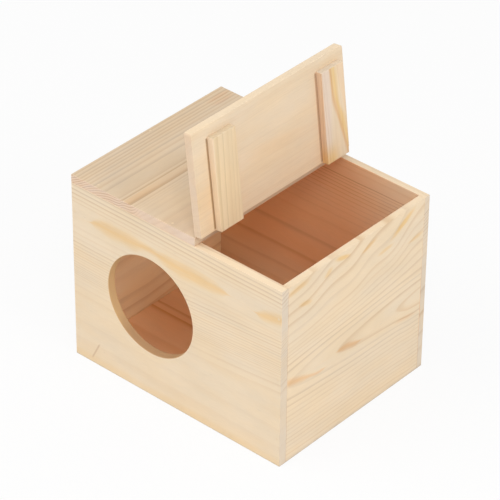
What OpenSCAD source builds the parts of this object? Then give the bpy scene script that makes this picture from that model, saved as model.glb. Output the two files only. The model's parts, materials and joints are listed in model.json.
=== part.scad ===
// Wooden parakeet house: a nailed pine box with a round entrance and a hinged half lid.
// X runs along the front from left to right, Y from the front to the back, Z up.
// The origin is the middle of the footprint, on the ground.

/* [Box] */
// Length of the box along its front
box_w = 200; // [180:1:260]
// Depth from the front face to the back face
box_d = 160; // [120:1:220]
// Height of the four walls
wall_h = 152.5; // [135:0.5:220]
// Thickness of the front panel
front_t = 7; // [5:0.5:10]
// Thickness of the back panel
back_t = 5.5; // [4:0.5:10]
// Thickness of each end panel
end_t = 5.5; // [4:0.5:10]
// Thickness of the floor panel
floor_t = 6; // [4:0.5:12]

/* [Entrance] */
// Diameter of the round entrance
hole_d = 82.5; // [30:0.5:90]
// Distance from the left end to the middle of the entrance
hole_x = 76; // [65:0.5:95]
// Height of the middle of the entrance
hole_z = 79.5; // [62:0.5:85]

/* [Top boards] */
// Thickness of the fixed top board
top_t = 7; // [5:0.5:10]
// Thickness of the lid board
lid_t = 6.5; // [6:0.5:8]
// Length of the fixed top board from the left end
fixed_w = 119.4; // [90:0.2:130]
// Gap between the fixed board and the closed lid
lid_gap = 0.55; // [0.55:0.05:1]
// Reach of the closed lid past the right end
lid_lip = 2.3; // [2:0.1:12]
// Distance of the lid's front edge behind the front face
lid_set_in = 1; // [0:0.5:3]
// Clearance under the closed lid
seat_gap = 0.3; // [0.3:0.1:0.5]
// Corner radius at the free end of the lid
lid_corner_r = 2; // [1:0.5:15]
// Lean of the open lid past upright
lid_lean = 6.8; // [0:0.1:8]

/* [Battens] */
// Thickness of each batten
batten_t = 5.5; // [4:0.5:9]
// Width of each batten
batten_w = 23; // [12:0.5:30]
// Distance from the front face to the front batten
front_batten_in = 16.2; // [12:0.1:40]
// Gap between the rear batten and the back panel
rear_batten_gap = 1.1; // [0.5:0.1:5]
// Gap between the battens and the right end panel
batten_end_gap = 0.9; // [0.9:0.1:4]

/* [Hinges] */
// Length of each hinge along its pin
hinge_l = 25; // [18:0.5:35]
// Width of each leaf from the pin
leaf_w = 12; // [9:0.5:12]
// Thickness of each leaf, let in flush with the wood
leaf_t = 0.8; // [0.6:0.1:0.8]
// Outer radius of the knuckles
knuckle_r = 1.3; // [1.2:0.05:1.3]
// Radius of the hinge pin
hinge_pin_r = 0.7; // [0.5:0.05:0.75]
// Running clearance around the hinge pin
pin_clearance = 0.06; // [0.02:0.01:0.1]
// Gap between neighbouring knuckles and around the barrel
knuckle_gap = 0.3; // [0.3:0.05:0.5]
// Distance of the pin inside the fixed board's edge
pin_in = 0.5; // [0.4:0.05:0.6]
// Depth of the pin below the fixed board's top face
pin_down = 0.6; // [0.5:0.05:0.6]
// Room for the barrel in both boards, from the pin
barrel_room = 2; // [2:0.1:3]
// Clearance around each leaf in its pocket
pocket_clearance = 0.1; // [0.05:0.05:0.3]
// Distance from each side to the middle of its hinge
hinge_in = 36; // [30:0.5:60]
// Radius of the hinge screw's shank
screw_r = 0.8; // [0.6:0.05:1]
// Radius of the hinge screw's head
screw_head_r = 1.7; // [1.3:0.1:2]
// Length of the hinge screws
screw_l = 5; // [3:0.5:5]

/* [Brads] */
// Radius of the brad's shank
brad_r = 0.6; // [0.4:0.05:1]
// Radius of the brad's head
brad_head_r = 0.9; // [0.7:0.05:1.4]
// Thickness of the brad's head
brad_head_t = 0.5; // [0.3:0.1:1]
// Length of the brads in the walls and the fixed board
brad_l = 20; // [14:0.5:30]
// Length of brad that is held in each batten
batten_brad_hold = 3.5; // [2:0.1:3.8]
// Distance of the end brads in a batten from the hinge leaf and from the batten's end
batten_brad_in = 6; // [4:0.5:8]
// Clearance around the brads
brad_clearance = 0.05; // [0.02:0.01:0.1]
// Distance of the outermost brads from an edge
brad_edge = 24; // [18:0.5:34]

/* [Hidden] */

$fn = 48;
eps = 0.01;

pine = [0.92, 0.84, 0.71];
pine_warm = [0.88, 0.78, 0.63];
pine_inner = [0.78, 0.62, 0.43];
steel = [0.72, 0.71, 0.68];

left_x = -box_w / 2;
right_x = box_w / 2;
front_y = -box_d / 2;
back_y = box_d / 2;
inner_front_y = front_y + front_t;
inner_back_y = back_y - back_t;
inner_d = inner_back_y - inner_front_y;
inner_w = box_w - 2 * end_t;
top_z = wall_h + top_t;

fixed_edge_x = left_x + fixed_w;
lid_foot_x = fixed_edge_x + lid_gap;
lid_far_x = right_x + lid_lip;
lid_front_y = front_y + lid_set_in;
lid_under_z = wall_h + seat_gap;
lid_top_z = lid_under_z + lid_t;
batten_len = right_x - end_t - batten_end_gap - lid_foot_x;
front_batten_y = front_y + front_batten_in;
rear_batten_y = inner_back_y - rear_batten_gap - batten_w;

pin_x = fixed_edge_x - pin_in;
pin_z = top_z - pin_down;
open_angle = 90 + lid_lean;
hinge_ys = [front_y + hinge_in, back_y - hinge_in];
box_leaf_x = pin_x - leaf_w;
box_leaf_edge_x = pin_x - barrel_room;
lid_leaf_edge_x = pin_x + barrel_room;
lid_leaf_far_x = pin_x + leaf_w;

knuckle_l = (hinge_l - 2 * knuckle_gap) / 3;
knuckle_bore_r = hinge_pin_r + pin_clearance;
// The screws stand in the middle of the flat part of each leaf.
box_screw_x = (box_leaf_x + box_leaf_edge_x) / 2;
lid_screw_x = (lid_leaf_edge_x + lid_leaf_far_x) / 2;
screw_ys = [-hinge_l / 3, hinge_l / 3];

// Heights of the corner brads, from the lowest to the highest.
corner_brad_zs = [brad_edge, wall_h / 2, wall_h - brad_edge];
end_brad_xs = [left_x + end_t / 2, right_x - end_t / 2];
floor_brad_xs = [-box_w / 4, 0, box_w / 4];
floor_brad_z = floor_t / 2;
fixed_brad_xs = [left_x + brad_edge, fixed_edge_x - brad_edge];
fixed_brad_ys = [front_y + front_t / 2, back_y - back_t / 2];
// The batten's brads run from just past the hinge leaf to just short of the batten's end.
first_batten_brad_x = lid_leaf_far_x + batten_brad_in;
last_batten_brad_x = lid_foot_x + batten_len - batten_brad_in;
middle_batten_brad_x = (first_batten_brad_x + last_batten_brad_x) / 2;
batten_brad_xs = [first_batten_brad_x, middle_batten_brad_x, last_batten_brad_x];

// Plain board with its lowest corner at p.
module board(p, size) {
    translate(p) cube(size);
}

// Brad that points down, with the top of its head at the origin.
module brad(len, grow = 0) {
    translate([0, 0, -len - grow]) cylinder(r = brad_r + grow, h = len + grow, $fn = 24);
    translate([0, 0, -brad_head_t])
        cylinder(r = brad_head_r + grow, h = brad_head_t + (grow > 0 ? eps : 0), $fn = 24);
}

// Brads that go in from the front face, heads at that face.
module front_brads(grow = 0) {
    for (x = end_brad_xs, z = corner_brad_zs)
        translate([x, front_y, z]) rotate([90, 0, 0]) brad(brad_l, grow);
}

module back_brads(grow = 0) {
    for (x = end_brad_xs, z = corner_brad_zs)
        translate([x, back_y, z]) rotate([-90, 0, 0]) brad(brad_l, grow);
}

module front_floor_brad_set(grow = 0) {
    for (x = floor_brad_xs)
        translate([x, front_y, floor_brad_z]) rotate([90, 0, 0]) brad(brad_l, grow);
}

module back_floor_brad_set(grow = 0) {
    for (x = floor_brad_xs)
        translate([x, back_y, floor_brad_z]) rotate([-90, 0, 0]) brad(brad_l, grow);
}

// Brads that go down through the fixed top board into the walls.
module top_brads(grow = 0) {
    for (x = fixed_brad_xs, y = fixed_brad_ys)
        translate([x, y, top_z]) brad(brad_l, grow);
    translate([left_x + end_t / 2, 0, top_z]) brad(brad_l, grow);
}

// Brads that go down through the closed lid into one batten.
module batten_brads(y, grow = 0) {
    for (x = batten_brad_xs)
        translate([x, y + batten_w / 2, lid_top_z]) brad(lid_t + batten_brad_hold, grow);
}

// Countersunk screw that points down, with the top of its head at the origin.
module screw(grow = 0) {
    translate([0, 0, -screw_l - grow]) cylinder(r = screw_r + grow, h = screw_l + grow, $fn = 24);
    translate([0, 0, -leaf_t]) cylinder(r1 = screw_r + grow, r2 = screw_head_r, h = leaf_t, $fn = 24);
    if (grow > 0) cylinder(r = screw_head_r, h = eps, $fn = 24);
}

module box_screws(y, grow = 0) {
    for (dy = screw_ys)
        translate([box_screw_x, y + dy, top_z]) screw(grow);
}

module lid_screws(y, grow = 0) {
    for (dy = screw_ys)
        translate([lid_screw_x, y + dy, lid_top_z]) screw(grow);
}

// Tube around the hinge pin from y to y + len.
module knuckle(y, len, r) {
    translate([pin_x, y + len, pin_z]) rotate([90, 0, 0]) cylinder(r = r, h = len);
}

// Shallow pocket for one leaf from x = from_x to x = to_x, below the wood's top face.
module leaf_pocket(y, from_x, to_x, face_z) {
    board([from_x, y - hinge_l / 2 - pocket_clearance, face_z - leaf_t],
          [to_x - from_x, hinge_l + 2 * pocket_clearance, leaf_t + eps]);
}

// Deeper notch for the barrel, with room below and at both ends of it.
module barrel_notch(y, from_x, to_x, face_z) {
    long = hinge_l + 2 * knuckle_gap;
    low_z = pin_z - knuckle_r - knuckle_gap;
    board([from_x, y - long / 2, low_z], [to_x - from_x, long, face_z - low_z + eps]);
}

module box_hinge_notch(y) {
    leaf_pocket(y, box_leaf_x - pocket_clearance, box_leaf_edge_x + eps, top_z);
    barrel_notch(y, box_leaf_edge_x, fixed_edge_x + eps, top_z);
}

module lid_hinge_notch(y) {
    leaf_pocket(y, lid_leaf_edge_x - eps, lid_leaf_far_x + pocket_clearance, lid_top_z);
    barrel_notch(y, lid_foot_x - eps, lid_leaf_edge_x, lid_top_z);
}

// Turns the lid from its closed place to its open one.
module opened() {
    translate([pin_x, 0, pin_z]) rotate([0, -open_angle, 0]) translate([-pin_x, 0, -pin_z])
        children();
}

module front_panel() {
    color(pine) difference() {
        board([left_x, front_y, 0], [box_w, front_t, wall_h]);
        translate([left_x + hole_x, inner_front_y + eps, hole_z]) rotate([90, 0, 0])
            cylinder(d = hole_d, h = front_t + 2 * eps, $fn = 96);
        front_brads(brad_clearance);
        front_floor_brad_set(brad_clearance);
        top_brads(brad_clearance);
    }
}

module back_panel() {
    color(pine) difference() {
        board([left_x, inner_back_y, 0], [box_w, back_t, wall_h]);
        back_brads(brad_clearance);
        back_floor_brad_set(brad_clearance);
        top_brads(brad_clearance);
    }
}

// End panel between the front and the back, with its outer face at one end.
module end_panel(x) {
    difference() {
        board([x, inner_front_y, 0], [end_t, inner_d, wall_h]);
        front_brads(brad_clearance);
        back_brads(brad_clearance);
        top_brads(brad_clearance);
    }
}

module left_end_panel() {
    color(pine) end_panel(left_x);
}

module right_end_panel() {
    color(pine) end_panel(right_x - end_t);
}

module floor_panel() {
    color(pine_inner) difference() {
        board([left_x + end_t, inner_front_y, 0], [inner_w, inner_d, floor_t]);
        front_floor_brad_set(brad_clearance);
        back_floor_brad_set(brad_clearance);
    }
}

module fixed_top_board() {
    color(pine_warm) difference() {
        board([left_x, front_y, wall_h], [fixed_w, box_d, top_t]);
        top_brads(brad_clearance);
        for (y = hinge_ys) {
            box_hinge_notch(y);
            box_screws(y, brad_clearance);
        }
    }
}

// Outline of the lid from above: square at its foot, round corners at its free end.
module lid_outline() {
    round_x = lid_far_x - lid_corner_r;
    translate([lid_foot_x, lid_front_y]) square([round_x - lid_foot_x, back_y - lid_front_y]);
    translate([lid_foot_x, lid_front_y + lid_corner_r])
        square([lid_far_x - lid_foot_x, back_y - lid_front_y - 2 * lid_corner_r]);
    for (y = [lid_front_y + lid_corner_r, back_y - lid_corner_r])
        translate([round_x, y]) circle(r = lid_corner_r);
}

module lid_board() {
    color(pine) opened() difference() {
        translate([0, 0, lid_under_z]) linear_extrude(lid_t) lid_outline();
        batten_brads(front_batten_y, brad_clearance);
        batten_brads(rear_batten_y, brad_clearance);
        for (y = hinge_ys) {
            lid_hinge_notch(y);
            lid_screws(y, brad_clearance);
        }
    }
}

// Batten under the closed lid, starting at y.
module lid_batten(y) {
    opened() difference() {
        board([lid_foot_x, y, lid_under_z - batten_t], [batten_len, batten_w, batten_t]);
        batten_brads(y, brad_clearance);
    }
}

module front_lid_batten() {
    color(pine) lid_batten(front_batten_y);
}

module rear_lid_batten() {
    color(pine) lid_batten(rear_batten_y);
}

// Leaf in the fixed board, with the two outer knuckles.
module box_leaf(y) {
    outer_ys = [y - hinge_l / 2, y + hinge_l / 2 - knuckle_l];
    difference() {
        union() {
            board([box_leaf_x, y - hinge_l / 2, top_z - leaf_t],
                  [box_leaf_edge_x - box_leaf_x, hinge_l, leaf_t]);
            for (ky = outer_ys) {
                knuckle(ky, knuckle_l, knuckle_r);
                board([box_leaf_edge_x, ky, top_z - leaf_t], [barrel_room, knuckle_l, leaf_t]);
            }
        }
        knuckle(y - hinge_l / 2 - eps, hinge_l + 2 * eps, hinge_pin_r);
        box_screws(y, brad_clearance);
    }
}

// Leaf in the closed lid, with the middle knuckle.
module lid_leaf(y) {
    middle_y = y - knuckle_l / 2;
    difference() {
        union() {
            board([lid_leaf_edge_x, y - hinge_l / 2, lid_top_z - leaf_t],
                  [lid_leaf_far_x - lid_leaf_edge_x, hinge_l, leaf_t]);
            knuckle(middle_y, knuckle_l, knuckle_r);
            board([pin_x, middle_y, lid_top_z - leaf_t], [barrel_room, knuckle_l, leaf_t]);
        }
        knuckle(middle_y - eps, knuckle_l + 2 * eps, knuckle_bore_r);
        lid_screws(y, brad_clearance);
    }
}

module front_hinge_box_leaf() {
    color(steel) box_leaf(hinge_ys[0]);
}

module rear_hinge_box_leaf() {
    color(steel) box_leaf(hinge_ys[1]);
}

module front_hinge_lid_leaf() {
    color(steel) opened() lid_leaf(hinge_ys[0]);
}

module rear_hinge_lid_leaf() {
    color(steel) opened() lid_leaf(hinge_ys[1]);
}

module front_hinge_pin() {
    color(steel) knuckle(hinge_ys[0] - hinge_l / 2, hinge_l, hinge_pin_r);
}

module rear_hinge_pin() {
    color(steel) knuckle(hinge_ys[1] - hinge_l / 2, hinge_l, hinge_pin_r);
}

module hinge_box_screws() {
    color(steel) for (y = hinge_ys) box_screws(y);
}

module hinge_lid_screws() {
    color(steel) opened() for (y = hinge_ys) lid_screws(y);
}

module front_panel_brads() {
    color(steel) front_brads();
}

module back_panel_brads() {
    color(steel) back_brads();
}

module front_floor_brads() {
    color(steel) front_floor_brad_set();
}

module back_floor_brads() {
    color(steel) back_floor_brad_set();
}

module fixed_top_brads() {
    color(steel) top_brads();
}

module front_batten_brads() {
    color(steel) opened() batten_brads(front_batten_y);
}

module rear_batten_brads() {
    color(steel) opened() batten_brads(rear_batten_y);
}

front_panel();
back_panel();
left_end_panel();
right_end_panel();
floor_panel();
fixed_top_board();
lid_board();
front_lid_batten();
rear_lid_batten();
front_hinge_box_leaf();
front_hinge_lid_leaf();
front_hinge_pin();
rear_hinge_box_leaf();
rear_hinge_lid_leaf();
rear_hinge_pin();
hinge_box_screws();
hinge_lid_screws();
front_panel_brads();
back_panel_brads();
front_floor_brads();
back_floor_brads();
fixed_top_brads();
front_batten_brads();
rear_batten_brads();
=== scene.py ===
import json
import math

import bmesh
import bpy
from mathutils import Matrix, Vector


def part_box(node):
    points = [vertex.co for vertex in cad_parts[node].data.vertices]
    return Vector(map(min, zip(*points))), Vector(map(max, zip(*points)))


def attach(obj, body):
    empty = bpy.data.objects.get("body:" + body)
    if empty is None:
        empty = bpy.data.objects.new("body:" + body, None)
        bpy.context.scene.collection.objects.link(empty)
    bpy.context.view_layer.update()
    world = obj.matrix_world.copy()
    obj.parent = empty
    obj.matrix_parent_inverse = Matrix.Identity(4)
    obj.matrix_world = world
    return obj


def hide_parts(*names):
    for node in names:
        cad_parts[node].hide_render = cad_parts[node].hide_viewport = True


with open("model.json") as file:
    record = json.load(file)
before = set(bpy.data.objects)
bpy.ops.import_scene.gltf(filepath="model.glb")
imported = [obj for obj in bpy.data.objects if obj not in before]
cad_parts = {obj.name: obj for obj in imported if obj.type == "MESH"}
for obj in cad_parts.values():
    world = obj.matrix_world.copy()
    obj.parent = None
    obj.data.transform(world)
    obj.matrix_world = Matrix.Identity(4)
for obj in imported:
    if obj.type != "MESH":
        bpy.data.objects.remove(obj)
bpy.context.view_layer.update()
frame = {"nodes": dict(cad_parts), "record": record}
nodes = frame["nodes"]
scene = bpy.context.scene

# Sizes in metres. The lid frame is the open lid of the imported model.
MM = 0.001
PHOTO_WIDTH = 500
LAMP_DISTANCE = 2.2
ARRIS = 0.35 * MM
SHORTEST_ARRIS = 0.2 * MM
PAPER_HALF = 6
GRAIN_RELIEF = 0.4 * MM
PLATING_RELIEF = 0.05 * MM
FILLER_RELIEF = 0.1 * MM
X, Y, Z = (1, 0, 0), (0, 1, 0), (0, 0, 1)
LEAN = math.radians(6.8)
LID_UP = (-math.sin(LEAN), 0, math.cos(LEAN))
LID_FOOT = (0.018378, -0.08, 0.159895)

# The entrance on the front panel in millimetres, from the panel's lower left corner
ENTRANCE_ALONG, ENTRANCE_UP, ENTRANCE_RADIUS = 76, 79.5, 41.25

# Millimetres out of each board's outer face, just short of its inner face
FRONT_INSIDE, BACK_INSIDE, LEFT_INSIDE, RIGHT_INSIDE = -6.8, 5.3, 5.3, -5.3
FLOOR_INSIDE, TOP_INSIDE, LID_INSIDE = 5.8, 6.8, 6.3


def srgb(red, green, blue):
    """Linear colour with alpha from the 0 to 255 values of a swatch."""
    swatch = [value / 255 for value in (red, green, blue)]
    linear = [v / 12.92 if v <= 0.04045 else ((v + 0.055) / 1.055) ** 2.4 for v in swatch]
    return (*linear, 1.0)


# Camera and light
def make_camera():
    """Camera at the photograph's viewing angle, solved from the box's straight edges."""
    around, above, roll = (math.radians(angle) for angle in (41.22, 35.14, 0.5623))
    distance, aim_right, aim_up = 2.2004, 0.001076, 0.08084
    focal_pixels = 2964
    towards = Vector((math.sin(around) * math.cos(above),
                      -math.cos(around) * math.cos(above),
                      math.sin(above)))
    level_right = (-towards).cross(Vector(Z)).normalized()
    level_up = level_right.cross(-towards)
    right = math.cos(roll) * level_right + math.sin(roll) * level_up
    up = -math.sin(roll) * level_right + math.cos(roll) * level_up
    place = towards * distance + right * aim_right + up * aim_up
    lens = bpy.data.cameras.new("photo_camera")
    lens.sensor_width = 36
    lens.lens = focal_pixels * lens.sensor_width / PHOTO_WIDTH
    lens.clip_start = 0.05
    lens.clip_end = 20
    camera = bpy.data.objects.new("photo_camera", lens)
    turn = Matrix((right, up, towards)).transposed().to_4x4()
    camera.matrix_world = Matrix.Translation(place) @ turn
    scene.collection.objects.link(camera)
    scene.camera = camera


def soft_lamp(name, around, above, size, strength):
    """Square soft box facing the house. Strength 1 lights a white card that faces it to full white."""
    lamp = bpy.data.lights.new(name, "AREA")
    lamp.shape = "SQUARE"
    lamp.size = size
    lamp.energy = strength * (math.pi * LAMP_DISTANCE) ** 2
    holder = bpy.data.objects.new(name, lamp)
    around, above = math.radians(around), math.radians(above)
    away = Vector((math.sin(around) * math.cos(above),
                   -math.cos(around) * math.cos(above),
                   math.sin(above)))
    holder.location = away * LAMP_DISTANCE + Vector((0, 0, 80 * MM))
    holder.rotation_euler = away.to_track_quat("Z", "Y").to_euler()
    scene.collection.objects.link(holder)


def seen_by_eye(net):
    """Socket that is 1 for camera, glossy and transmission rays."""
    path = net.add("ShaderNodeLightPath").outputs
    straight = net.math("MAXIMUM", path["Is Camera Ray"], path["Is Glossy Ray"])
    return net.math("MAXIMUM", straight, path["Is Transmission Ray"])


def make_world(strength):
    """Even pale surroundings that look white to the camera and to reflections."""
    world = bpy.data.worlds.new("studio")
    scene.world = world
    world.use_nodes = True
    world.node_tree.nodes.clear()
    net = Net(world.node_tree)
    seen = net.add("ShaderNodeBackground")
    seen.inputs["Color"].default_value = (1, 1, 1, 1)
    seen.inputs["Strength"].default_value = 1
    lit = net.add("ShaderNodeBackground")
    lit.inputs["Color"].default_value = (1, 1, 1, 1)
    lit.inputs["Strength"].default_value = strength
    mix = net.add("ShaderNodeMixShader")
    net.feed(mix.inputs[0], seen_by_eye(net))
    net.feed(mix.inputs[1], lit.outputs[0])
    net.feed(mix.inputs[2], seen.outputs[0])
    net.feed(net.add("ShaderNodeOutputWorld").inputs["Surface"], mix.outputs[0])


def make_floor():
    """Wide pale floor. To the eye it is nearly white and keeps a faint shadow of the house."""
    mesh = bpy.data.meshes.new("studio_floor")
    shape = bmesh.new()
    bmesh.ops.create_grid(shape, x_segments=1, y_segments=1, size=PAPER_HALF)
    shape.to_mesh(mesh)
    shape.free()
    floor = bpy.data.objects.new("studio_floor", mesh)
    scene.collection.objects.link(floor)
    paper = bpy.data.materials.new("studio_paper")
    paper.use_nodes = True
    paper.node_tree.nodes.clear()
    net = Net(paper.node_tree)
    card = net.add("ShaderNodeBsdfDiffuse")
    card.inputs["Color"].default_value = (0.86, 0.86, 0.86, 1)
    glow = net.add("ShaderNodeEmission")
    glow.inputs["Color"].default_value = (1, 1, 1, 1)
    mix = net.add("ShaderNodeMixShader")
    net.feed(mix.inputs[0], net.math("MULTIPLY", seen_by_eye(net), 0.88))
    net.feed(mix.inputs[1], card.outputs[0])
    net.feed(mix.inputs[2], glow.outputs[0])
    net.feed(net.add("ShaderNodeOutputMaterial").inputs["Surface"], mix.outputs[0])
    mesh.materials.append(paper)


# Short calls for shader nodes
class Net:
    """Adds nodes to a material or a node group and joins them."""

    def __init__(self, tree):
        self.tree = tree

    def add(self, kind, **settings):
        """New node of a kind, with its settings."""
        node = self.tree.nodes.new(kind)
        for name, value in settings.items():
            setattr(node, name, value)
        return node

    def feed(self, socket, value):
        """Link a socket to another one, or set its value."""
        if isinstance(value, bpy.types.NodeSocket):
            self.tree.links.new(value, socket)
        else:
            socket.default_value = value

    def math(self, operation, *values):
        node = self.add("ShaderNodeMath", operation=operation)
        for socket, value in zip(node.inputs, values):
            self.feed(socket, value)
        return node.outputs[0]

    def product(self, *values):
        """Product of any number of values."""
        result = values[0]
        for value in values[1:]:
            result = self.math("MULTIPLY", result, value)
        return result

    def vector(self, operation, *values):
        node = self.add("ShaderNodeVectorMath", operation=operation)
        for socket, value in zip(node.inputs, values):
            self.feed(socket, value)
        if operation in ("LENGTH", "DOT_PRODUCT"):
            return node.outputs["Value"]
        return node.outputs["Vector"]

    def split(self, vector):
        node = self.add("ShaderNodeSeparateXYZ")
        self.feed(node.inputs[0], vector)
        return node.outputs

    def join(self, x, y, z):
        node = self.add("ShaderNodeCombineXYZ")
        for socket, value in zip(node.inputs, (x, y, z)):
            self.feed(socket, value)
        return node.outputs[0]

    def step(self, value, low, high, out_low=0.0, out_high=1.0):
        """Smooth step from out_low to out_high as value goes from low to high."""
        node = self.add("ShaderNodeMapRange", interpolation_type="SMOOTHSTEP")
        for name, setting in (("Value", value), ("From Min", low), ("From Max", high),
                              ("To Min", out_low), ("To Max", out_high)):
            self.feed(node.inputs[name], setting)
        return node.outputs["Result"]

    def band(self, value, low, high, feather):
        """1 between low and high, fading to 0 over the feather on both sides."""
        up = self.step(value, low - feather, low)
        down = self.step(value, high, high + feather, 1.0, 0.0)
        return self.math("MULTIPLY", up, down)

    def curve(self, value, width, height, points):
        """Smooth curve through given points. Both axes are in the caller's own units."""
        node = self.add("ShaderNodeFloatCurve")
        line = node.mapping.curves[0]
        line.points[0].location = (points[0][0] / width, points[0][1] / height)
        line.points[1].location = (points[-1][0] / width, points[-1][1] / height)
        for across, level in points[1:-1]:
            line.points.new(across / width, level / height)
        for point in line.points:
            point.handle_type = "AUTO_CLAMPED"
        node.mapping.update()
        self.feed(node.inputs["Value"], self.math("DIVIDE", value, width))
        return self.math("MULTIPLY", node.outputs[0], height)

    def noise(self, vector, scale=1.0, detail=2.0, roughness=0.5):
        node = self.add("ShaderNodeTexNoise", noise_dimensions="3D")
        self.feed(node.inputs["Vector"], vector)
        self.feed(node.inputs["Scale"], scale)
        self.feed(node.inputs["Detail"], detail)
        self.feed(node.inputs["Roughness"], roughness)
        return node.outputs

    def blend(self, share, first, second, mode="MIX"):
        node = self.add("ShaderNodeMix", data_type="RGBA", blend_type=mode)
        self.feed(node.inputs["Factor"], share)
        self.feed(node.inputs[6], first)
        self.feed(node.inputs[7], second)
        return node.outputs[2]

    def millimetres(self):
        """Place on the object in millimetres."""
        place = self.add("ShaderNodeTexCoord").outputs["Object"]
        return self.vector("MULTIPLY", place, (1 / MM, 1 / MM, 1 / MM))

    def use(self, group, **values):
        """Outputs of a node group that is given values by its inputs' names."""
        node = self.add("ShaderNodeGroup", node_tree=group)
        for name, value in values.items():
            self.feed(node.inputs[name.replace("_", " ")], value)
        return node.outputs


SOCKETS = {"value": "NodeSocketFloat", "vector": "NodeSocketVector"}


def new_group(name, inputs, outputs):
    """Empty node group with named sockets. Returns the group, its Net, its inputs and outputs."""
    tree = bpy.data.node_groups.new(name, "ShaderNodeTree")
    for socket, start in inputs.items():
        kind = "vector" if start is None else "value"
        made = tree.interface.new_socket(socket, in_out="INPUT", socket_type=SOCKETS[kind])
        if start is not None:
            made.default_value = start
    for socket in outputs:
        tree.interface.new_socket(socket, in_out="OUTPUT", socket_type=SOCKETS["value"])
    net = Net(tree)
    given = net.add("NodeGroupInput").outputs
    result = net.add("NodeGroupOutput").inputs
    return tree, net, given, result


# Pine, in millimetres along, across and out of each board
def make_sway():
    """Slow wander of the grain: a point moved a little across and through the board."""
    tree, net, given, result = new_group(
        "grain_sway", {"Board": None, "Reach": 2.0, "Seed": 0.0}, ["Across", "Out"])
    along, across, out = net.split(given["Board"])
    slow = net.join(net.math("MULTIPLY_ADD", along, 0.011, given["Seed"]),
                    net.math("MULTIPLY", across, 0.018), net.math("MULTIPLY", out, 0.018))
    quick = net.join(net.math("MULTIPLY_ADD", along, 0.045, given["Seed"]),
                     net.math("MULTIPLY", across, 0.09), net.math("MULTIPLY", out, 0.09))
    middle = (0.5, 0.5, 0.5)
    large = net.vector("SUBTRACT", net.noise(slow, 1.0, 1.0, 0.4)["Color"], middle)
    small = net.vector("SUBTRACT", net.noise(quick, 1.0, 1.0, 0.5)["Color"], middle)
    wander = net.vector("ADD", large, net.vector("MULTIPLY", small, (0.16, 0.16, 0.16)))
    side, deep, _ = net.split(wander)
    reach = net.math("MULTIPLY", given["Reach"], 4.0)
    net.feed(result["Across"], net.math("MULTIPLY_ADD", side, reach, across))
    net.feed(result["Out"], net.math("MULTIPLY_ADD", deep, reach, out))
    return tree


def make_growth_rings():
    """Ring number at a point of a board, counted outwards from the pith of the tree."""
    tree, net, given, result = new_group(
        "growth_rings",
        {"Across": 0.0, "Out": 0.0, "Pith across": 0.0, "Pith depth": 30.0, "Ring width": 4.0,
         "Uneven": 2.4, "Seed": 0.0},
        ["Ring"])
    side = net.math("SUBTRACT", given["Across"], given["Pith across"])
    deep = net.math("ADD", given["Out"], given["Pith depth"])
    radius = net.vector("LENGTH", net.join(side, deep, 0.0))
    ring = net.math("DIVIDE", radius, given["Ring width"])
    uneven = net.add("ShaderNodeTexNoise", noise_dimensions="1D")
    net.feed(uneven.inputs["W"], net.math("MULTIPLY_ADD", ring, 0.31, given["Seed"]))
    uneven.inputs["Detail"].default_value = 1
    net.feed(result["Ring"], net.math("MULTIPLY_ADD", uneven.outputs["Fac"], given["Uneven"], ring))
    return tree


def make_latewood():
    """Dark late growth: rises slowly through each ring and stops sharply at its end."""
    tree, net, given, result = new_group(
        "latewood", {"Ring": 0.0, "Seed": 0.0, "Faintest": 0.4, "Start": 0.35}, ["Late", "Warmth"])
    part = net.math("FRACT", given["Ring"])
    rise = net.math("POWER", net.step(part, given["Start"], 0.88), 1.5)
    fall = net.step(part, 0.9, 1.0, 1.0, 0.0)
    year = net.math("ADD", net.math("FLOOR", given["Ring"]), given["Seed"])
    chance = net.add("ShaderNodeTexWhiteNoise", noise_dimensions="1D")
    net.feed(chance.inputs["W"], year)
    depth = net.step(chance.outputs["Value"], 0.0, 1.0, given["Faintest"], 1.0)
    net.feed(result["Late"], net.product(rise, fall, depth))
    net.feed(result["Warmth"], net.math("FRACT", net.math("MULTIPLY", chance.outputs["Value"], 7.0)))
    return tree


def make_fibres():
    """Fine fibres along the grain, broad clouds of tone and of hue, and short resin canals."""
    tree, net, given, result = new_group(
        "fibres", {"Board": None, "Seed": 0.0}, ["Fibre", "Cloud", "Drift", "Canal"])
    along, across, out = net.split(given["Board"])
    shift = net.math("MULTIPLY_ADD", along, 0.05, given["Seed"])
    net.feed(result["Fibre"], net.noise(net.join(shift, across, out), 2.4, 3.0, 0.6)["Fac"])
    broad = net.join(net.math("MULTIPLY", shift, 0.35), net.math("MULTIPLY", across, 0.05),
                     net.math("MULTIPLY", out, 0.05))
    clouds = net.noise(broad, 1.0, 3.0, 0.55)
    net.feed(result["Cloud"], clouds["Fac"])
    net.feed(result["Drift"], net.split(clouds["Color"])[1])
    cells = net.add("ShaderNodeTexVoronoi", voronoi_dimensions="3D", feature="F1")
    net.feed(cells.inputs["Vector"], net.join(net.math("MULTIPLY", shift, 2.0), across, out))
    cells.inputs["Scale"].default_value = 0.42
    spot = net.step(cells.outputs["Distance"], 0.03, 0.09, 1.0, 0.0)
    sparse = net.add("ShaderNodeTexWhiteNoise", noise_dimensions="3D")
    net.feed(sparse.inputs["Vector"], cells.outputs["Position"])
    kept = net.math("GREATER_THAN", sparse.outputs["Value"], 0.8)
    net.feed(result["Canal"], net.math("MULTIPLY", spot, kept))
    return tree


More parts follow.
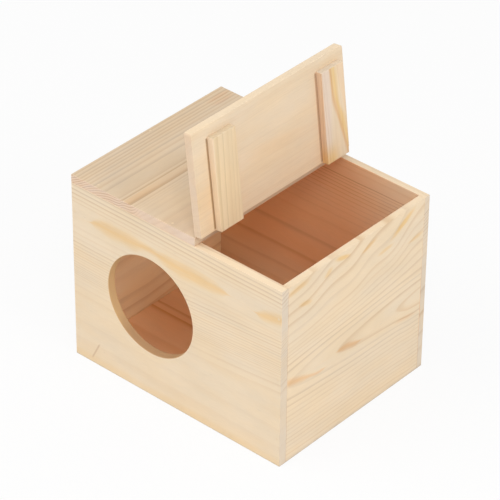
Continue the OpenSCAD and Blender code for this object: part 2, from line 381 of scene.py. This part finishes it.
def make_grain_patch():
    """Feathered patch on a board's face: a long oval that follows a straight line."""
    tree, net, given, result = new_group(
        "grain_patch",
        {"Board": None, "Along": 0.0, "Across": 0.0, "Half length": 20.0, "Half width": 3.0,
         "Slope": 0.0, "Feather": 0.8},
        ["Patch"])
    along, across, out = net.split(given["Board"])
    away = net.math("SUBTRACT", along, given["Along"])
    side = net.math("SUBTRACT", net.math("SUBTRACT", across, given["Across"]),
                    net.math("MULTIPLY", away, given["Slope"]))
    streaks = net.join(net.math("MULTIPLY", along, 0.05), net.math("MULTIPLY", across, 0.35), 0.0)
    ragged = net.math("SUBTRACT", net.noise(streaks, 1.0, 3.0, 0.6)["Fac"], 0.5)
    reach = net.vector("LENGTH", net.join(net.math("DIVIDE", away, given["Half length"]),
                                          net.math("DIVIDE", side, given["Half width"]), 0.0))
    reach = net.math("MULTIPLY_ADD", ragged, given["Feather"], reach)
    net.feed(result["Patch"], net.step(reach, 0.35, 1.2, 1.0, 0.0))
    return tree


grain_sway = make_sway()
growth_rings = make_growth_rings()
latewood = make_latewood()
fibres = make_fibres()
grain_patch = make_grain_patch()

PALE = srgb(240, 219, 188)
LATE_WARM = srgb(219, 181, 133)
LATE_GREY = srgb(206, 180, 150)
RESIN = srgb(238, 198, 130)
END_TINT = (0.90, 0.925, 0.99, 1)
# Painted shade and orange bounce light for the faces inside the box
INSIDE_SHADE_AND_BOUNCE = (1.12, 0.82, 0.63, 1)
# Painted shade where a batten meets the lid
PAINTED_CONTACT_SHADE = srgb(150, 112, 70)
# Grey of the lower edges: partly dust and partly painted contact shade
DUST_AND_SHADE = srgb(188, 176, 164)


class Board:
    """One board's coordinates in a material: along its grain, across it and out of its face."""

    def __init__(self, net, along, across, origin):
        along, across = Vector(along), Vector(across)
        turn = Matrix((along, across, along.cross(across)))
        mapping = net.add("ShaderNodeMapping", vector_type="POINT")
        net.feed(mapping.inputs["Vector"], net.add("ShaderNodeTexCoord").outputs["Object"])
        mapping.inputs["Rotation"].default_value = turn.to_euler("XYZ")
        mapping.inputs["Scale"].default_value = (1 / MM, 1 / MM, 1 / MM)
        mapping.inputs["Location"].default_value = -(turn @ (Vector(origin) / MM))
        self.net = net
        self.point = mapping.outputs[0]
        self.along, self.across, self.out = net.split(self.point)
        self.grain = along

    def patch(self, along, across, half_length, half_width, slope=0.0, feather=0.8):
        return self.net.use(grain_patch, Board=self.point, Along=along, Across=across,
                            Half_length=half_length, Half_width=half_width, Slope=slope,
                            Feather=feather)["Patch"]

    def ribbon(self, length, centre, half_width, wisp=0.7):
        """Wispy streak along the grain. Both lists give millimetres at distances along the board."""
        net = self.net
        middle = net.curve(self.along, length, 160, centre)
        reach = net.math("ADD", net.curve(self.along, length, 20, half_width), 0.05)
        away = net.math("ABSOLUTE", net.math("SUBTRACT", self.across, middle))
        strands = net.join(net.math("MULTIPLY", self.along, 0.035),
                           net.math("MULTIPLY", self.across, 0.45), net.math("MULTIPLY", self.out, 0.45))
        ragged = net.math("SUBTRACT", net.noise(strands, 1.0, 3.0, 0.6)["Fac"], 0.5)
        edge = net.math("MULTIPLY_ADD", ragged, wisp, net.math("DIVIDE", away, reach))
        return net.step(edge, 0.0, 1.25, 1.0, 0.0)

    def end_grain(self):
        """1 where the surface looks along the grain."""
        normal = self.net.add("ShaderNodeTexCoord").outputs["Normal"]
        facing = self.net.vector("DOT_PRODUCT", normal, tuple(self.grain))
        return self.net.step(self.net.math("ABSOLUTE", facing), 0.45, 0.9)


def pine(name, frame_of_board, rings, strength, seed, faintest=0.4, start=0.35, pale=PALE,
         warm=LATE_WARM, grey=LATE_GREY, tints=None, stains=None, inner=None,
         inside_painted_light=INSIDE_SHADE_AND_BOUNCE, end_tint=END_TINT):
    """Bare planed pine for one board.

    rings gives the ring number, and strength how much the grain lines show. tints and stains
    give lists of (mask, colour): tints lie in the wood of the faces, and stains lie over the
    faces and the end grain alike.
    inner gives the mask of the faces inside the box; there the colour is multiplied by a tint of painted
    shade and painted bounce light.
    """
    material = bpy.data.materials.new(name)
    material.use_nodes = True
    net = Net(material.node_tree)
    shader = material.node_tree.nodes["Principled BSDF"]
    board = Board(net, *frame_of_board)
    late, warmth = net.use(latewood, Ring=rings(net, board), Seed=seed, Faintest=faintest,
                           Start=start)
    fibre, cloud, drift, canal = net.use(fibres, Board=board.point, Seed=seed)
    level = strength(net, board) if callable(strength) else strength
    line = net.blend(warmth, grey, warm)
    colour = pale
    end = board.end_grain()
    face = net.math("SUBTRACT", 1.0, end)
    for mask, tint in (tints(net, board) if tints else ()):
        mask = net.math("MULTIPLY", mask, face)
        colour = net.blend(mask, colour, tint)
        line = net.blend(mask, line, net.blend(1.0, line, tint, "MULTIPLY"))
    colour = net.blend(net.math("MULTIPLY", late, level), colour, line)
    tone = net.product(net.step(cloud, 0.25, 0.75, 0.97, 1.03),
                       net.step(fibre, 0.3, 0.7, 0.975, 1.02),
                       net.math("MULTIPLY_ADD", canal, -0.16, 1.0))
    colour = net.blend(1.0, colour, net.join(tone, tone, tone), "MULTIPLY")
    hue = net.blend(net.step(drift, 0.3, 0.7), (0.99, 1.0, 1.035, 1), (1.01, 0.985, 0.955, 1))
    colour = net.blend(1.0, colour, hue, "MULTIPLY")
    colour = net.blend(end, colour, net.blend(1.0, colour, end_tint, "MULTIPLY"))
    for mask, stain in (stains(net, board) if stains else ()):
        colour = net.blend(mask, colour, stain)
    if inner:
        # Painted light and shade of the box's inside, on the faces that the inner mask picks
        shaded = net.blend(1.0, colour, inside_painted_light, "MULTIPLY")
        colour = net.blend(inner(net, board), colour, shaded)
    net.feed(shader.inputs["Base Color"], colour)
    net.feed(shader.inputs["Roughness"], net.math("MULTIPLY_ADD", late, -0.12, 0.68))
    shader.inputs["Specular IOR Level"].default_value = 0.3
    bump = net.add("ShaderNodeBump")
    bump.inputs["Strength"].default_value = 0.12
    bump.inputs["Distance"].default_value = GRAIN_RELIEF
    net.feed(bump.inputs["Height"], net.math("MULTIPLY_ADD", late, 0.6, fibre))
    net.feed(shader.inputs["Normal"], bump.outputs[0])
    return material


def flat_sawn(pith_across, pith_depth, ring_width, seed, sway=1.5, uneven=2.4, lift=None):
    """Rings of a board cut beside the pith. lift moves the grain lines by some millimetres."""
    def rings(net, board):
        wander = net.use(grain_sway, Board=board.point, Reach=sway, Seed=seed)
        across = wander["Across"]
        if lift:
            across = net.math("SUBTRACT", across, lift(net, board))
        return net.use(growth_rings, Across=across, Out=wander["Out"], Pith_across=pith_across,
                       Pith_depth=pith_depth, Ring_width=ring_width, Uneven=uneven,
                       Seed=seed)["Ring"]
    return rings


def straight_grain(width, counts, sway, seed, lift=None):
    """Rings as lines along the board. counts gives the ring number at distances across it."""
    most = max(count for _, count in counts)

    def rings(net, board):
        wander = net.use(grain_sway, Board=board.point, Reach=sway, Seed=seed)
        across = net.math("MULTIPLY_ADD", wander["Out"], 0.5, wander["Across"])
        if lift:
            across = net.math("SUBTRACT", across, lift(net, board))
        return net.curve(across, width, most, counts)
    return rings


def levels(width, points):
    """Strength of the grain lines at distances across a board."""
    def strength(net, board):
        return net.curve(board.across, width, 1.0, points)
    return strength


def beyond(reach):
    """Mask of the face that lies further out of the board than reach, or behind it if negative."""
    def mask(net, board):
        if reach < 0:
            return net.math("LESS_THAN", board.out, reach)
        return net.math("GREATER_THAN", board.out, reach)
    return mask


def front_lift(net, board):
    """Right of the entrance the lines climb to the right. Above it they fall a little."""
    climb = net.product(net.math("MAXIMUM", net.math("SUBTRACT", board.along, 105), 0.0), 0.085,
                        net.band(board.across, 62, 108, 14))
    fall = net.product(board.along, -0.014, net.step(board.across, 118, 135))
    return net.math("ADD", climb, fall)


def front_tints(net, board):
    """Yellow resin streak above the entrance, and a small slanted flaw low on the left."""
    streak = board.ribbon(200, [(0, 123), (18, 126), (30, 128), (60, 128), (75, 129.5), (88, 128),
                                (100, 126.5), (140, 126.5), (155, 126.5), (178, 124), (188, 126),
                                (200, 128.5)],
                          [(0, 0), (14, 0), (24, 4.4), (45, 8), (58, 7.4), (70, 4), (80, 3.5),
                           (92, 6), (110, 8), (130, 7), (145, 3.8), (156, 0), (172, 0),
                           (180, 3.3), (190, 6), (200, 6)], 1.1)
    slanted = net.math("SUBTRACT", board.along, net.math("MULTIPLY", board.across, 0.5))
    flaw = net.product(net.band(slanted, 14.2, 14.8, 0.9), net.band(board.across, 6, 18, 3))
    foot = net.step(board.across, 3, 9, 0.25, 0.0)
    return [(net.math("MULTIPLY", streak, 0.7), srgb(240, 201, 140)),
            (net.math("MULTIPLY", flaw, 0.4), srgb(190, 150, 115)),
            (foot, RESIN)]


def front_stains(net, board):
    """Entrance wall in a warmer, darker tone, partly the cut face's own colour and partly painted shade,
    and browner at its foot, and a grey lower edge, partly dust and partly painted contact shade.
    """
    away = net.join(net.math("SUBTRACT", board.along, ENTRANCE_ALONG),
                    net.math("SUBTRACT", board.across, ENTRANCE_UP), 0.0)
    # Painted shade, with the cut face's own warmer colour, on the wall of the entrance
    bore_tone_and_shade = net.step(net.vector("LENGTH", away), ENTRANCE_RADIUS + 0.05, ENTRANCE_RADIUS + 0.35,
                    1.0, 0.0)
    foot = net.math("MULTIPLY", bore_tone_and_shade, net.step(board.across, 42, 58, 1.0, 0.0))
    return [(bore_tone_and_shade, srgb(228, 192, 140)),
            (foot, srgb(200, 162, 120)),
            (net.step(board.across, 0.4, 1.6, 0.35, 0.0), DUST_AND_SHADE)]


def foot_dust_and_shade(net, board):
    """Grey along the lower edge, in short worn stretches: partly dust and partly painted contact shade.
    """
    stretches = net.noise(net.join(net.math("MULTIPLY", board.along, 0.09), 0.0, 0.0), 1.0, 2.0)["Fac"]
    return [(net.math("MULTIPLY", net.step(board.across, 0.5, 2.4, 1.0, 0.0),
                      net.step(stretches, 0.35, 0.7, 0.25, 0.6)), DUST_AND_SHADE)]


def right_rings(net, board):
    """Cathedral grain with three tips. Above it the grain fans out and climbs to the back."""
    wander = net.use(grain_sway, Board=board.point, Reach=0.7, Seed=3.3)
    ramp = net.math("MAXIMUM", net.math("SUBTRACT", board.across, 90), 0.0)
    climb = net.product(net.math("SUBTRACT", board.along, 60), ramp, 0.0065)
    wave = net.math("SINE", net.math("MULTIPLY_ADD", board.along, 0.14, -5.6))
    climb = net.math("ADD", climb, net.product(wave, 1.4, net.step(board.across, 98, 128)))
    level = net.math("SUBTRACT", net.math("SUBTRACT", wander["Across"], climb), 68)
    depth = net.math("MULTIPLY_ADD", board.along, -0.0704, 23.9)
    above = net.vector("LENGTH", net.join(net.math("MAXIMUM", level, 0.0), depth, 0.0))
    below = net.vector("LENGTH", net.join(net.math("MINIMUM", level, 0.0), depth, 0.0))
    upper = net.curve(above, 90, 15, [(12, 0.1), (13.8, 0.4), (14.8, 0.9),
                                      (19.4, 1.9), (23.2, 2.9), (42.5, 8.9), (47, 9.9),
                                      (56, 10.9), (88, 13.9)])
    lower = net.math("DIVIDE", net.math("SUBTRACT", below, depth), 3.3)
    return net.math("ADD", upper, lower)


def right_tints(net, board):
    """Orange resin at the tips of the cathedral grain and in streaks near the top edge."""
    first = board.ribbon(160, [(0, 71), (8, 70), (20, 67), (30, 64), (42, 61.5), (160, 61.5)],
                         [(0, 0), (5, 0.5), (10, 4.2), (20, 3.8), (30, 2.2), (44, 1.5), (50, 0),
                          (160, 0)], 0.8)
    second = board.ribbon(160, [(0, 68), (62, 68), (72, 67.5), (80, 65), (90, 64), (160, 64)],
                          [(0, 0), (58, 0), (64, 2.5), (72, 4), (80, 3), (92, 0), (160, 0)], 0.8)
    third = board.patch(138, 56, 12, 2.2, -0.12)
    high = net.math("MAXIMUM", board.patch(17, 147, 13, 3.2, 0.1),
                    board.patch(25, 130, 8, 2.5, -0.2))
    high = net.math("MAXIMUM", high, board.patch(49, 143, 5, 3, 0.4))
    high = net.math("MAXIMUM", high, board.patch(93, 143, 9, 2.2, 0.35))
    high = net.math("MAXIMUM", high, board.patch(112, 130, 9, 2, 0.1))
    high = net.math("MAXIMUM", high, board.patch(146, 123, 9, 2, 0.1))
    strong = net.math("MAXIMUM", board.patch(64, 148, 9, 2.6, -0.25),
                      board.patch(131, 143, 14, 3.6, 0.55))
    tips = net.math("MAXIMUM", net.math("MAXIMUM", first, second), net.math("MULTIPLY", third, 0.5))
    return [(net.math("MULTIPLY", tips, 0.75), srgb(238, 196, 146)),
            (net.math("MULTIPLY", high, 0.5), RESIN),
            (net.math("MULTIPLY", strong, 0.75), RESIN)]


def top_rings(net, board):
    """Straight lines on the face. In the end grain the rings rise to the right and lie flatter."""
    wander = net.use(grain_sway, Board=board.point, Reach=0.3, Seed=2.6)
    face = net.curve(wander["Across"], 122, 22, [(0, 0.2), (36, 9.2), (47, 9.9), (50.5, 10.9),
                                                 (58.5, 11.9), (70, 15.9), (90, 19), (122, 22)])
    return net.math("MULTIPLY_ADD", board.out, net.step(board.across, 50, 80, 0.5, 0.16), face)


def top_levels(net, board):
    """Lines show most at the left edge, in the double streak and in the end grain."""
    face = net.curve(board.across, 122, 1, [(0, 0.6), (34, 0.6), (38, 0.2), (46, 0.3), (51, 0.95),
                                            (58, 0.95), (62, 0.45), (70, 0.2), (122, 0.2)])
    cut = net.product(net.band(board.out, 0.5, 6.5, 0.2), net.step(board.across, 54, 72, 1.0, 0.25))
    return net.math("MAXIMUM", face, cut)


def top_tints(net, board):
    """Warm band inside the strong double streak, warm spots at the back left, and painted shade of the
    standing lid on the strip of the board beside it.
    """
    streak = net.band(board.across, 52.5, 56.5, 1.6)
    front = net.step(board.along, 12, 40, 0.42, 0.2)
    spots = net.math("MAXIMUM", board.patch(148, 8, 14, 3), board.patch(146, 14, 12, 2.5))
    grey = net.band(board.across, 36, 46, 6)
    return [(net.math("MULTIPLY", streak, front), srgb(226, 184, 134)),
            (net.math("MULTIPLY", spots, 0.4), srgb(226, 186, 148)),
            (net.math("MULTIPLY", grey, 0.3), srgb(214, 195, 168)),
            # Painted shade of the standing lid on the board next to its foot
            (net.math("MULTIPLY", net.step(board.across, 84, 92), 0.22), srgb(215, 182, 150))]


def foot_fade(net, board):
    """The grain lines of the lid only show near its foot."""
    return net.step(board.across, 6, 34, 0.26, 0.12)


def lid_tints(net, board):
    """The lower half is more orange, and painted shade darkens the corners in front of the battens."""
    lower = net.step(board.across, 4, 66, 0.22, 0.04)
    inner = net.math("GREATER_THAN", board.out, LID_INSIDE)
    # Painted shade in the corners on the lid's inner face, just in front of each batten
    shade_by_front_batten = net.product(inner, net.band(board.along, 14.9, 16.2, 0.5),
                              net.band(board.across, 2, 72, 1.5))
    shade_by_rear_batten = net.product(inner, net.band(board.along, 129.0, 130.4, 0.6),
                             net.band(board.across, 2, 72, 1.5))
    return [(lower, srgb(242, 200, 148)),
            (net.math("MULTIPLY", board.patch(90, 36, 55, 7, -0.12, 1.2), 0.16), srgb(238, 198, 150)),
            (net.math("MULTIPLY", board.patch(6, 28, 30, 16, 0.0, 1.2), 0.3), srgb(240, 200, 142)),
            (net.math("MULTIPLY", shade_by_front_batten, 0.75), PAINTED_CONTACT_SHADE),
            (net.math("MULTIPLY", shade_by_rear_batten, 0.6), srgb(158, 108, 68))]


def front_batten_lift(net, board):
    """The lines slant a few millimetres towards the middle of the lid as they rise."""
    return net.math("MULTIPLY", board.along, 0.045)


def front_batten_levels(net, board):
    """Soft lines, with a plain strip at the front edge that widens upwards."""
    strip = net.step(net.math("SUBTRACT", board.across, net.math("MULTIPLY", board.along, 0.012)),
                     15.6, 17.4)
    return net.math("MULTIPLY", strip, 0.55)


def front_batten_tints(net, board):
    """Pinkish-white strip at the upper front edge, and a paler front side, partly the sawn edge's own
    pale tone and partly painted light.
    """
    strip = net.math("MULTIPLY", net.step(board.across, 15, 17.5, 1.0, 0.0),
                     net.step(board.along, 40, 52))
    side = net.math("LESS_THAN", board.across, 16.25)
    return [(net.math("MULTIPLY", strip, 0.5), srgb(244, 222, 206)),
            # Paler front side: partly painted light, partly the sawn edge's own tone
            (net.math("MULTIPLY", side, 0.6), srgb(252, 228, 198))]


def rear_batten_tints(net, board):
    """Lilac-white wedge at the front edge, then a wavy resin streak that runs down the batten. The front
    side is more orange, partly its own heartwood tone and partly painted bounce light.
    """
    wedge = net.step(net.math("MULTIPLY_ADD", board.along, -0.09, board.across), 131.5, 136.5, 1.0, 0.0)
    path = [(0, 155.5), (10, 153.5), (16, 152), (22, 150.5), (31, 148.5), (41, 145.5), (46, 144.3),
            (51, 143.4), (58, 143), (68, 142.5), (80, 141.5)]
    streak = board.ribbon(80, path, [(0, 2.6), (16, 3), (31, 4.4), (41, 2.6), (51, 3.2), (66, 4.2),
                                     (80, 3)], 0.7)
    left = [(along, across - 2.8) for along, across in path]
    rim = board.ribbon(80, left, [(0, 1.6), (30, 2.2), (44, 2.6), (56, 1.6), (80, 1.4)], 0.8)
    right = net.step(net.math("MULTIPLY_ADD", board.along, 0.17, board.across), 157, 160)
    side = net.math("LESS_THAN", board.across, 130.45)
    foot = net.product(net.step(board.along, 2, 20, 1.0, 0.0),
                       net.step(board.across, 136, 146, 1.0, 0.0))
    return [(net.math("MULTIPLY", wedge, 0.5), srgb(236, 214, 198)),
            (net.math("MULTIPLY", right, 0.45), srgb(240, 206, 168)),
            (net.math("MULTIPLY", foot, 0.8), RESIN),
            (net.math("MULTIPLY", streak, 0.8), srgb(239, 203, 136)),
            (net.math("MULTIPLY", rim, 0.6), srgb(224, 172, 110)),
            # More orange front side: partly heartwood tone, partly painted bounce light
            (net.math("MULTIPLY", side, 0.3), srgb(250, 190, 118))]


def back_inside_shade(net, board):
    """Mask of the inner face for its painted shade and bounce light. It fades out towards the right end
    and near the floor, where the face is painted as lit.
    """
    # Painted light: less of the inside shade at the right end and near the floor
    lit_right = net.product(net.step(board.along, 125, 192, 0.0, 0.9),
                             net.step(board.across, 50, 115))
    lit_low = net.step(board.across, 8, 60, 0.7, 0.0)
    depth = net.math("SUBTRACT", 1.0, net.math("MAXIMUM", lit_right, lit_low))
    return net.math("MULTIPLY", beyond(BACK_INSIDE)(net, board), depth)


def left_lift(net, board):
    """The lowest lines climb a little towards the back."""
    low = net.step(board.across, 36, 48, 1.0, 0.0)
    return net.product(net.math("MAXIMUM", net.math("SUBTRACT", board.along, 70), 0.0), 0.09, low)


FRONT_FRAME = (X, Z, (-0.1, -0.08, 0))
BACK_FRAME = (X, Z, (-0.1, 0.08, 0))
LEFT_FRAME = (Y, Z, (-0.1, -0.08, 0))
RIGHT_FRAME = (Y, Z, (0.1, -0.08, 0))
FLOOR_FRAME = (X, Y, (-0.1, -0.08, 0))
TOP_FRAME = (Y, X, (-0.1, -0.08, 0.1595))
LID_FRAME = (Y, LID_UP, LID_FOOT)
BATTEN_FRAME = (LID_UP, Y, LID_FOOT)

FINISHES = {
    "front_panel": pine(
        "pine_front", FRONT_FRAME,
        straight_grain(160, [(0, 1), (34, 3), (66, 6.3), (84, 14.5), (117, 25), (136, 26.4),
                             (139, 27.3), (160, 33)], sway=0.7, seed=1.7, lift=front_lift),
        levels(160, [(0, 0.12), (60, 0.14), (70, 0.35), (100, 0.5), (117, 0.4), (124, 0.1),
                     (136, 0.2), (140, 0.6), (152, 0.65), (160, 0.7)]),
        seed=1.7, faintest=0.35, tints=front_tints, stains=front_stains, inner=beyond(FRONT_INSIDE)),
    "back_panel": pine(
        "pine_back", BACK_FRAME,
        straight_grain(160, [(0, 0), (20, 0.9), (34, 1.9), (52, 2.9), (73, 3.9), (100, 5.5),
                             (118, 8.9), (139, 15), (141, 15.9), (150, 17), (160, 20)],
                       sway=0.9, seed=5.1),
        levels(160, [(0, 0.4), (40, 0.45), (52, 0.75), (62, 0.45), (73, 0.75), (90, 0.2), (110, 0.35),
                     (122, 0.6), (141, 1.0), (147, 0.35), (160, 0.5)]),
        seed=5.1, faintest=0.6, start=0.62, stains=foot_dust_and_shade, inner=back_inside_shade),
    "left_end_panel": pine(
        "pine_left", LEFT_FRAME,
        straight_grain(160, [(0, 0), (19, 1.9), (30, 2.9), (60, 4.4), (90, 8), (125, 15), (160, 26)],
                       sway=1.2, seed=9.4, lift=left_lift),
        levels(160, [(0, 0.5), (19, 0.65), (30, 0.6), (42, 0.3), (70, 0.3), (110, 0.4), (160, 0.45)]),
        seed=9.4, faintest=0.55, stains=foot_dust_and_shade, inner=beyond(LEFT_INSIDE),
        # Painted light: the left wall's inner face is made brighter than the lamps light it
        inside_painted_light=(1.15, 1.12, 1.0, 1)),
    "right_end_panel": pine(
        "pine_right", RIGHT_FRAME, right_rings,
        levels(160, [(0, 0.4), (45, 0.4), (56, 0.55), (62, 0.4), (74, 0.4), (80, 0.6), (98, 0.45),
                     (112, 0.45), (160, 0.6)]),
        seed=3.3, faintest=0.5, start=0.45, tints=right_tints, stains=foot_dust_and_shade,
        inner=beyond(RIGHT_INSIDE)),
    "floor_panel": pine(
        "pine_floor", FLOOR_FRAME,
        straight_grain(160, [(0, 0), (30, 3), (60, 4.2), (79, 4.9), (86, 5.9), (110, 7), (160, 14)],
                       sway=0.8, seed=6.2),
        levels(160, [(0, 0.5), (60, 0.4), (74, 0.7), (79, 1.0), (86, 1.0), (94, 0.4), (160, 0.5)]),
        # Painted shade and orange bounce light on the floor's inner face
        seed=6.2, faintest=0.7, start=0.5, inner=beyond(FLOOR_INSIDE), inside_painted_light=(1.14, 0.88, 0.7, 1)),
    "fixed_top_board": pine(
        "pine_top", TOP_FRAME, top_rings, top_levels, seed=2.6, faintest=0.6, start=0.2,
        pale=srgb(226, 204, 174), warm=srgb(204, 170, 130), grey=srgb(194, 171, 145),
        tints=top_tints, inner=beyond(TOP_INSIDE), end_tint=(1.09, 1.05, 1.12, 1)),
    "lid_board": pine(
        "pine_lid", LID_FRAME, flat_sawn(100, 30, 3.2, seed=8.8), foot_fade, seed=8.8,
        tints=lid_tints, end_tint=(0.92, 0.86, 0.85, 1)),
    "front_lid_batten": pine(
        "pine_front_batten", BATTEN_FRAME,
        flat_sawn(8, 30, 3.2, sway=0.4, uneven=0.8, seed=4.5, lift=front_batten_lift),
        front_batten_levels, seed=4.5, start=0.1, pale=srgb(240, 216, 178), warm=srgb(214, 182, 134),
        grey=srgb(208, 186, 142), tints=front_batten_tints),
    "rear_lid_batten": pine(
        "pine_rear_batten", BATTEN_FRAME, flat_sawn(180, -30, 6.0, seed=7.9), 0.25,
        seed=7.9, tints=rear_batten_tints),
}


def plated_steel(name, plating):
    """Plated steel with fine drawn lines and cloudy plating."""
    material = bpy.data.materials.new(name)
    material.use_nodes = True
    net = Net(material.node_tree)
    shader = material.node_tree.nodes["Principled BSDF"]
    place = net.millimetres()
    x, y, z = net.split(place)
    lines = net.noise(net.join(net.math("MULTIPLY", x, 5.0), net.math("MULTIPLY", y, 0.12),
                               net.math("MULTIPLY", z, 5.0)), 1.0, 2.0, 0.6)["Fac"]
    cloud = net.noise(place, 0.35, 3.0, 0.6)["Fac"]
    tone = net.product(net.step(cloud, 0.3, 0.7, 0.92, 1.05), net.step(lines, 0.3, 0.7, 0.95, 1.04))
    colour = net.blend(1.0, plating, net.join(tone, tone, tone), "MULTIPLY")
    net.feed(shader.inputs["Base Color"], colour)
    shader.inputs["Metallic"].default_value = 1.0
    net.feed(shader.inputs["Roughness"], net.step(cloud, 0.2, 0.8, 0.48, 0.62))
    bump = net.add("ShaderNodeBump")
    bump.inputs["Strength"].default_value = 0.1
    bump.inputs["Distance"].default_value = PLATING_RELIEF
    net.feed(bump.inputs["Height"], lines)
    net.feed(shader.inputs["Normal"], bump.outputs[0])
    return material


def wood_filler():
    """Pale filler over the sunk brad heads, close to the colour of the pine."""
    material = bpy.data.materials.new("wood_filler")
    material.use_nodes = True
    net = Net(material.node_tree)
    shader = material.node_tree.nodes["Principled BSDF"]
    place = net.millimetres()
    grit = net.noise(place, 3.0, 3.0, 0.6)["Fac"]
    net.feed(shader.inputs["Base Color"], net.blend(net.step(grit, 0.3, 0.7), srgb(232, 207, 172),
                                                    srgb(241, 219, 188)))
    net.feed(shader.inputs["Roughness"], net.step(grit, 0.3, 0.7, 0.7, 0.85))
    bump = net.add("ShaderNodeBump")
    bump.inputs["Strength"].default_value = 0.2
    bump.inputs["Distance"].default_value = FILLER_RELIEF
    net.feed(bump.inputs["Height"], grit)
    net.feed(shader.inputs["Normal"], bump.outputs[0])
    return material


# Pieces
def hinge_places():
    """Boxes round the two hinges, where a board's edges are cut for the leaves and stay sharp."""
    places = []
    for end in ("front", "rear"):
        corners = [corner for part in ("box_leaf", "lid_leaf", "pin")
                   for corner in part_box(f"{end}_hinge_{part}")]
        low = Vector([min(corner[axis] for corner in corners) - MM for axis in range(3)])
        high = Vector([max(corner[axis] for corner in corners) + MM for axis in range(3)])
        places.append((low, high))
    return places


def is_arris(edge, places):
    """True for a sharp outer edge of a board, away from the brad holes and the hinges."""
    if not edge.is_convex or edge.calc_face_angle() < math.radians(60):
        return False
    if edge.calc_length() < SHORTEST_ARRIS:
        return False
    middle = (edge.verts[0].co + edge.verts[1].co) / 2
    return not any(all(low[axis] < middle[axis] < high[axis] for axis in range(3))
                   for low, high in places)


def eased_board(name, finish):
    """Copy of a board with its sharp edges sanded off, which stands for the plain one."""
    mesh = bpy.data.meshes.new(f"{name}_sanded")
    shape = bmesh.new()
    shape.from_mesh(nodes[name].data)
    bmesh.ops.remove_doubles(shape, verts=shape.verts, dist=0.001 * MM)
    bmesh.ops.dissolve_limit(shape, angle_limit=math.radians(0.5), verts=shape.verts,
                             edges=shape.edges, use_dissolve_boundaries=False)
    places = hinge_places()
    arrises = [edge for edge in shape.edges if is_arris(edge, places)]
    sanded = bmesh.ops.bevel(shape, geom=arrises, offset=ARRIS, offset_type="OFFSET", segments=2,
                             profile=0.5, affect="EDGES", clamp_overlap=True, material=-1)
    for face in shape.faces:
        face.smooth = False
    for face in sanded["faces"]:
        face.smooth = True
    shape.to_mesh(mesh)
    shape.free()
    mesh.materials.append(finish)
    board = bpy.data.objects.new(f"{name}_sanded", mesh)
    scene.collection.objects.link(board)
    for body, members in frame["record"]["behaviour"]["bodies"].items():
        if name in members:
            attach(board, body)
    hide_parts(name)


def dress(name, finish):
    """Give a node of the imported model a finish."""
    slots = nodes[name].data.materials
    slots.clear()
    slots.append(finish)


for board_name, board_finish in FINISHES.items():
    eased_board(board_name, board_finish)
hinge_steel = plated_steel("zinc_steel", srgb(168, 167, 161))
screw_steel = plated_steel("yellow_zinc_screws", srgb(150, 138, 108))
filler = wood_filler()
for node_name in nodes:
    if "screws" in node_name:
        dress(node_name, screw_steel)
    elif "hinge" in node_name:
        dress(node_name, hinge_steel)
    elif "brads" in node_name:
        dress(node_name, filler)

make_camera()
make_world(0.60)
make_floor()
soft_lamp("camera_light", around=48, above=50, size=0.6, strength=0.17)
soft_lamp("right_light", around=87, above=36, size=0.5, strength=0.18)
soft_lamp("left_light", around=-35, above=45, size=1.6, strength=0.28)
soft_lamp("top_light", around=0, above=90, size=1.6, strength=0.04)
scene.view_settings.view_transform = "Standard"
